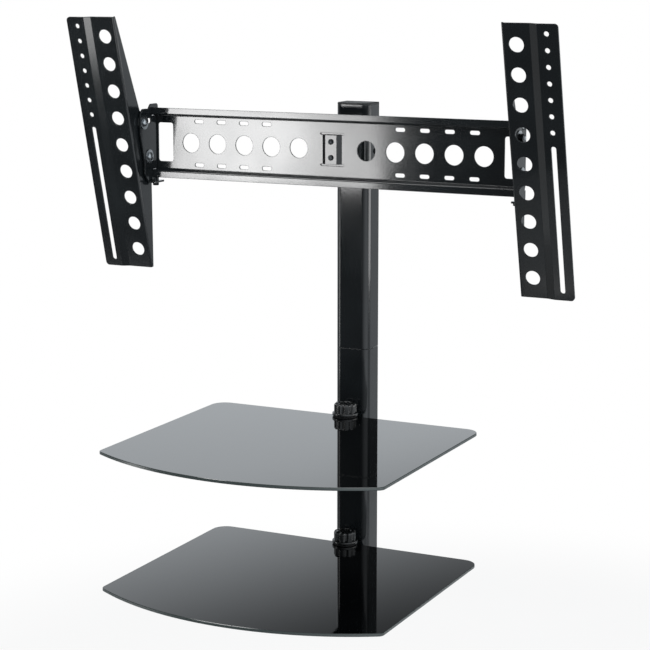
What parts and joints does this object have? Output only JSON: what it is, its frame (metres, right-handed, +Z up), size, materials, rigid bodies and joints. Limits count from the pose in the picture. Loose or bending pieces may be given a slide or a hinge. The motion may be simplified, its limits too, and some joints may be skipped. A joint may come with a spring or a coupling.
{
  "type": "wall media column with screen mount",
  "caption": "Wall column with a swivelling, tilting screen mount on a perforated crossbar and black glass shelves held by fluted clamp knobs; open back for cables.",
  "frame": {"origin": "centre of the upper wall plate's holes, on the wall plane, level with the crossbar axis", "axes": "+X to the right seen from the front, +Y into the wall, +Z up"},
  "size_m": [0.837, 0.5135, 0.9546],
  "materials": {
    "black_paint": "semi-gloss",
    "black_screw": "black oxide",
    "black_plastic": "satin",
    "black_glass": "polished black",
    "black_rubber": "matte",
    "zinc_steel": "bright zinc"
  },
  "bodies": {
    "stand": {"column_upper": "black_paint", "column_lower": "black_paint", "column_joint_sleeve": "black_paint", "column_top_cap": "black_plastic", "column_bottom_cap": "black_plastic", "wall_plate_upper": "black_paint", "wall_plate_lower": "black_paint", "column_side_screws": "black_screw", "head_backing_plate": "zinc_steel", "swivel_base": "black_paint", "head_bolts": "zinc_steel", "head_bolt_washers": "zinc_steel", "swivel_pin": "zinc_steel", "swivel_pin_washer": "zinc_steel", "swivel_pin_nut": "zinc_steel", "shelf_bracket_upper": "black_paint", "shelf_bracket_lower": "black_paint", "shelf_nut_plate_upper": "zinc_steel", "shelf_nut_plate_lower": "zinc_steel", "shelf_bracket_bolts": "zinc_steel", "shelf_pads_upper": "black_rubber", "shelf_pads_lower": "black_rubber", "glass_shelf_upper": "black_glass", "glass_shelf_lower": "black_glass", "clamp_stud_upper": "zinc_steel", "clamp_stud_lower": "zinc_steel", "clamp_gasket_upper": "black_rubber", "clamp_gasket_lower": "black_rubber", "knob_washer_upper": "black_rubber", "knob_washer_lower": "black_rubber"},
    "head": {"swivel_knuckle": "black_paint", "crossbar": "black_paint", "bridge_screws": "black_screw", "swivel_friction_washers": "black_plastic", "tilt_bracket_left": "black_paint", "tilt_bracket_right": "black_paint"},
    "lock_screw_left": {"bracket_lock_screw_left": "black_screw"},
    "lock_screw_right": {"bracket_lock_screw_right": "black_screw"},
    "arm_left": {"arm_left": "black_paint", "tilt_bolts_left": "zinc_steel", "tilt_nuts_left": "black_screw", "tilt_washers_left": "zinc_steel", "tilt_friction_washers_left": "black_plastic"},
    "arm_right": {"arm_right": "black_paint", "tilt_bolts_right": "zinc_steel", "tilt_nuts_right": "black_screw", "tilt_washers_right": "zinc_steel", "tilt_friction_washers_right": "black_plastic"},
    "knob_upper": {"shelf_knob_upper": "black_plastic"},
    "knob_lower": {"shelf_knob_lower": "black_plastic"}
  },
  "joints": [
    {"name": "head_swivel", "type": "hinge", "parent": "stand", "child": "head", "pos_m": [0, -0.078, 0], "axis": [0, 0, 1], "range_deg": [-15, 15]},
    {"name": "arm_left_tilt", "type": "hinge", "parent": "head", "child": "arm_left", "pos_m": [-0.329, -0.1421, -0.0225], "axis": [1, 0, 0], "range_deg": [-19.2, 0.8]},
    {"name": "arm_right_tilt", "type": "hinge", "parent": "head", "child": "arm_right", "pos_m": [0.329, -0.1421, -0.0225], "axis": [1, 0, 0], "range_deg": [-19.2, 0.8]},
    {"name": "lock_screw_left_turn", "type": "hinge", "parent": "head", "child": "lock_screw_left", "pos_m": [-0.32, -0.13, -0.06], "axis": [0, 0, -1], "range_deg": [0, 360]},
    {"name": "lock_screw_right_turn", "type": "hinge", "parent": "head", "child": "lock_screw_right", "pos_m": [0.32, -0.13, -0.06], "axis": [0, 0, -1], "range_deg": [0, 360]},
    {"name": "knob_upper_turn", "type": "hinge", "parent": "stand", "child": "knob_upper", "pos_m": [0, -0.0645, -0.44], "axis": [0, 0, 1], "range_deg": [0, 360]},
    {"name": "knob_lower_turn", "type": "hinge", "parent": "stand", "child": "knob_lower", "pos_m": [0, -0.0645, -0.66], "axis": [0, 0, 1], "range_deg": [0, 360]}
  ]
}
